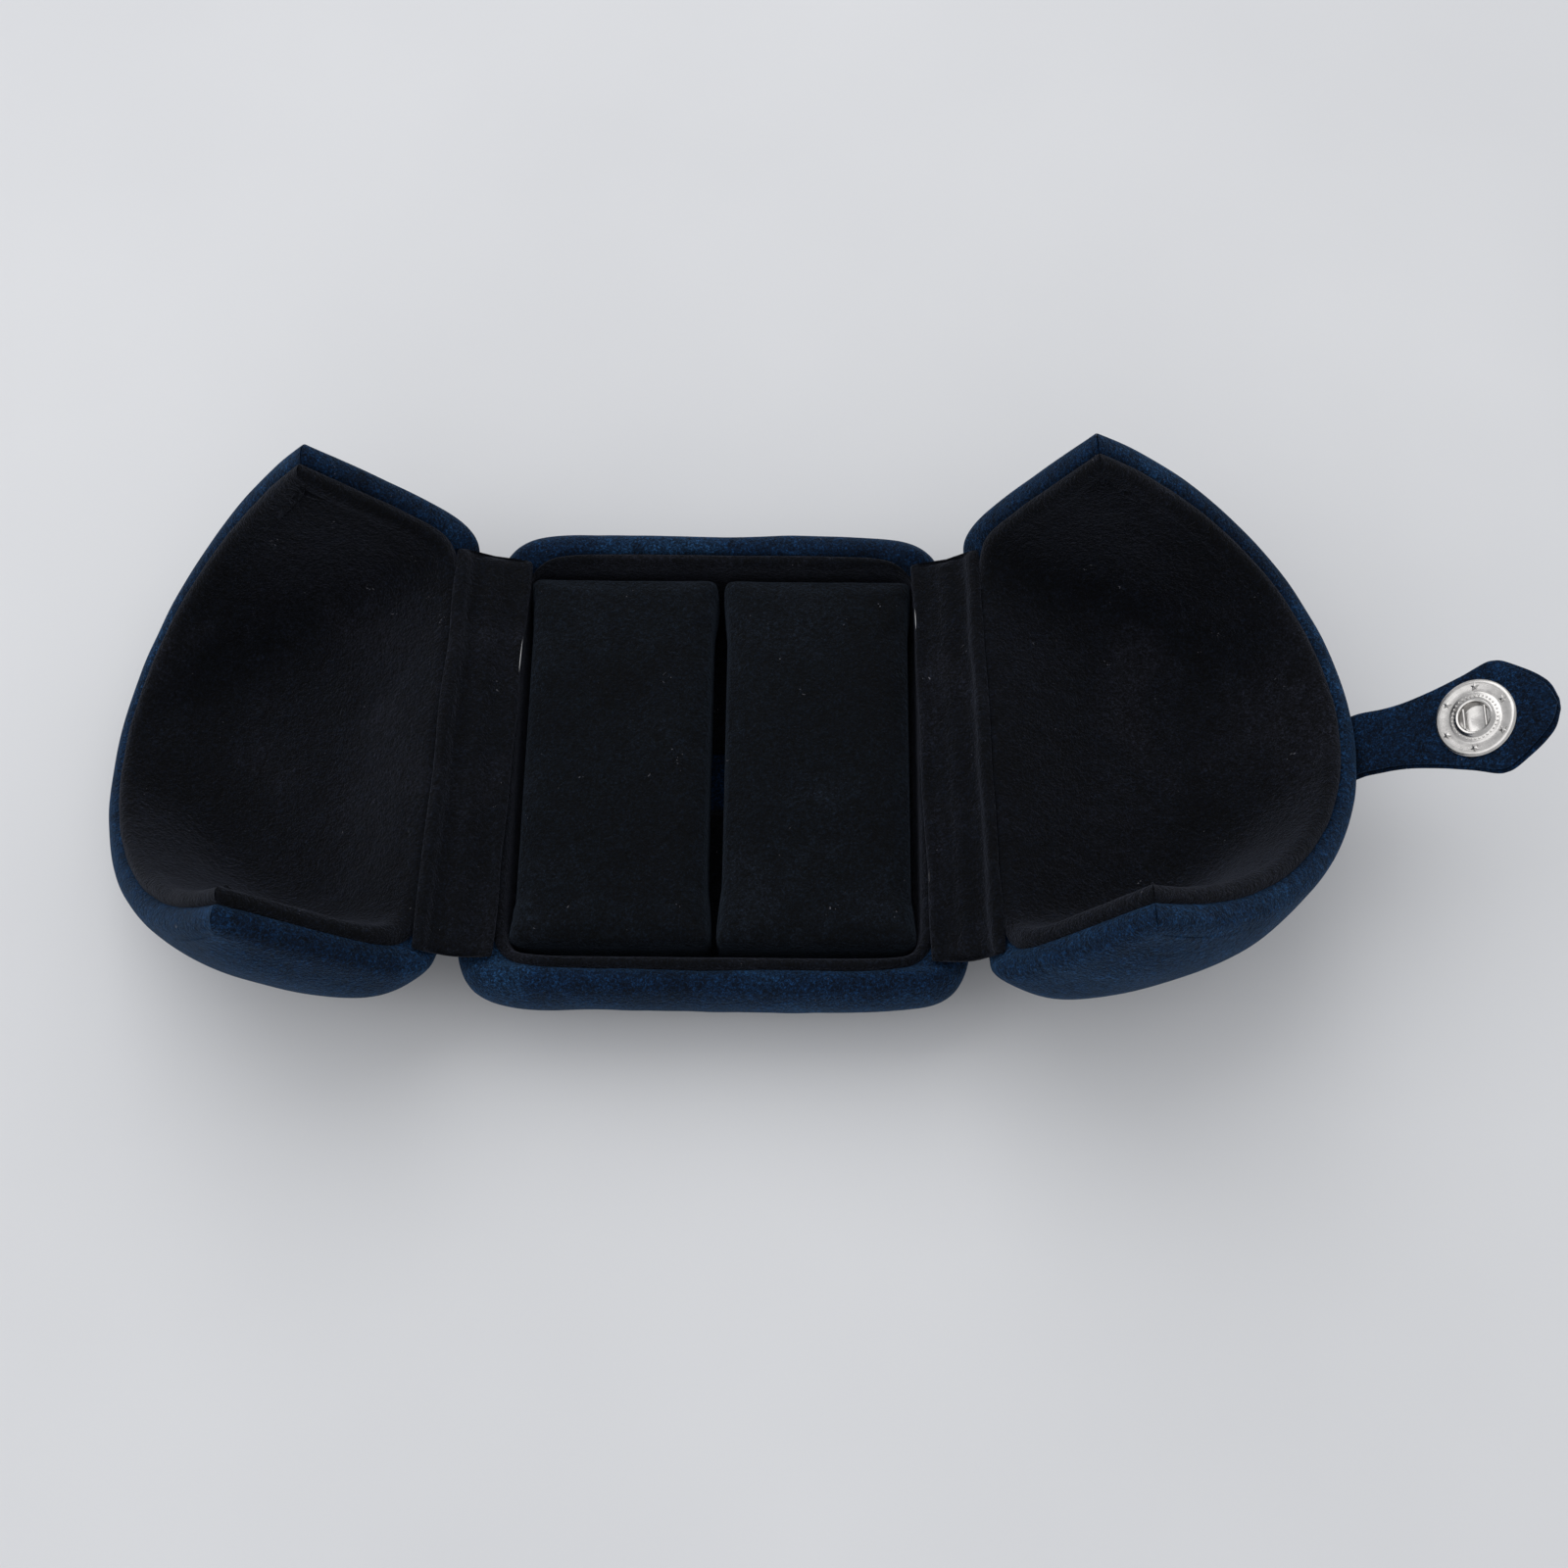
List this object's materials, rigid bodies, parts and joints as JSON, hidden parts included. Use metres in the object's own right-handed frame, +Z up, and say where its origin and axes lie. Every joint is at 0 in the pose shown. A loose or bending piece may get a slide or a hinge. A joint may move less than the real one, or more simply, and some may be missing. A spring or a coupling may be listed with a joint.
{
  "type": "ring box",
  "caption": "Open double-door ring box: padded velvet tray with a slotted ring cushion, hinged half-dome lids and a press-stud strap.",
  "frame": {"origin": "middle of the tray's underside, on the surface it stands on", "axes": "+X across the two hinges towards the lid that carries the strap, +Y towards the back, +Z up"},
  "size_m": [0.2059, 0.0739, 0.0482],
  "materials": {
    "navy_velvet": "short dense pile with a soft sheen",
    "black_lining_velvet": "short black pile, lint-flecked",
    "black_cushion_velvet": "short black pile over foam",
    "white_wadding": "soft wadding, out of sight",
    "shell_plastic": "moulded, out of sight",
    "stiffener_card": "thin board, out of sight",
    "nickel_plate": "polished nickel plate",
    "spring_wire": "drawn wire",
    "hinge_steel": "thin pressed steel"
  },
  "bodies": {
    "base": {"base_cover": "navy_velvet", "base_lining": "black_lining_velvet", "base_shell": "shell_plastic", "left_gusset_base_half": "black_lining_velvet", "left_hinge_base_leaf": "hinge_steel", "left_hinge_pin": "hinge_steel", "right_gusset_base_half": "black_lining_velvet", "right_hinge_base_leaf": "hinge_steel", "right_hinge_pin": "hinge_steel", "ring_cushion_left": "black_cushion_velvet", "ring_cushion_right": "black_cushion_velvet"},
    "left_lid": {"left_gusset_lid_half": "black_lining_velvet", "left_hinge_lid_leaf": "hinge_steel", "left_lid_cover": "navy_velvet", "left_lid_lining": "black_lining_velvet", "left_lid_padding": "white_wadding", "left_lid_shell": "shell_plastic", "snap_stud": "nickel_plate", "snap_stud_washer": "nickel_plate"},
    "right_lid": {"right_gusset_lid_half": "black_lining_velvet", "right_hinge_lid_leaf": "hinge_steel", "right_lid_cover": "navy_velvet", "right_lid_lining": "black_lining_velvet", "right_lid_padding": "white_wadding", "right_lid_shell": "shell_plastic", "strap_root": "navy_velvet"},
    "strap_neck": {"strap_neck_facing": "navy_velvet", "strap_neck_outer": "navy_velvet", "strap_neck_stiffener": "stiffener_card"},
    "strap_tab": {"snap_cap": "nickel_plate", "snap_socket": "nickel_plate", "snap_socket_springs": "spring_wire", "strap_tab_facing": "navy_velvet", "strap_tab_outer": "navy_velvet", "strap_tab_stiffener": "stiffener_card"}
  },
  "joints": [
    {"name": "left_lid_hinge", "type": "hinge", "parent": "base", "child": "left_lid", "pos_m": [-0.0349, 0, 0.0178], "axis": [0.0332, 0.9995, 0], "range_deg": [0, 136.6]},
    {"name": "right_lid_hinge", "type": "hinge", "parent": "base", "child": "right_lid", "pos_m": [0.0349, 0, 0.0178], "axis": [0.0332, -0.9995, 0], "range_deg": [-13.4, 123.2]},
    {"name": "strap_root_fold", "type": "hinge", "parent": "right_lid", "child": "strap_neck", "pos_m": [0.0942, 0.00112, 0.02076], "axis": [0.0035, -0.999, -0.0453], "range_deg": [-10, 17]},
    {"name": "strap_middle_fold", "type": "hinge", "parent": "strap_neck", "child": "strap_tab", "pos_m": [0.10064, 0.0009, 0.0263], "axis": [0.0035, -0.999, -0.0453], "range_deg": [-15.9, 27]}
  ],
  "couplings": [
    {"joint": "strap_middle_fold", "follows": "strap_root_fold", "ratio": 1.5882}
  ]
}
